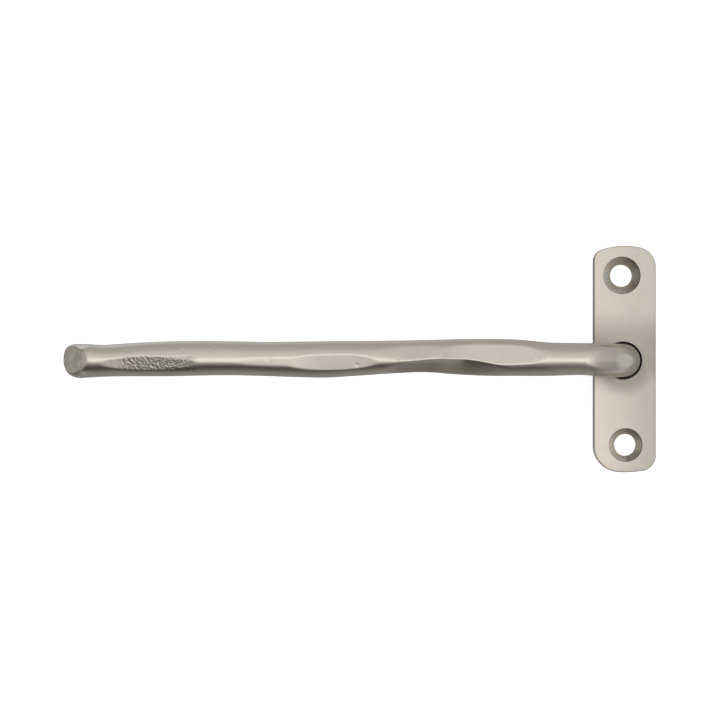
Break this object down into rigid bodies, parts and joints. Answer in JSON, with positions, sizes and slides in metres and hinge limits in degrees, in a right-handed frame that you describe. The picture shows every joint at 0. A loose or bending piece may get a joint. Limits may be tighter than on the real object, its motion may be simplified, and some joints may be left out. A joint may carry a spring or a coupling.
{
  "type": "casement window stay",
  "caption": "Hammered round-bar window stay: a bar with a turned-down hook pin that swivels in a countersunk screw-on plate.",
  "frame": {"origin": "where the swivel axis meets the plate's back face, on the surface that the plate is screwed to", "axes": "+Z out of the mounting surface along the swivel axis, -X along the bar towards its hook pin, Y along the plate's length"},
  "size_m": [0.1387, 0.0533, 0.0263],
  "materials": {
    "plate_nickel": "satin nickel, fine linished",
    "bar_nickel": "satin nickel over hammered steel",
    "washer_nickel": "satin nickel"
  },
  "bodies": {
    "plate": {"mounting_plate": "plate_nickel"},
    "pivot": {"retaining_washer": "washer_nickel"},
    "bar": {"stay_bar": "bar_nickel"}
  },
  "joints": [
    {"name": "swivel", "type": "hinge", "parent": "plate", "child": "pivot", "pos_m": [0, 0, 0.0026], "axis": [0, 0, 1], "continuous": true},
    {"name": "lift", "type": "hinge", "parent": "pivot", "child": "bar", "pos_m": [0, 0, 0.0026], "axis": [0, 1, 0], "range_deg": [0, 5]}
  ]
}
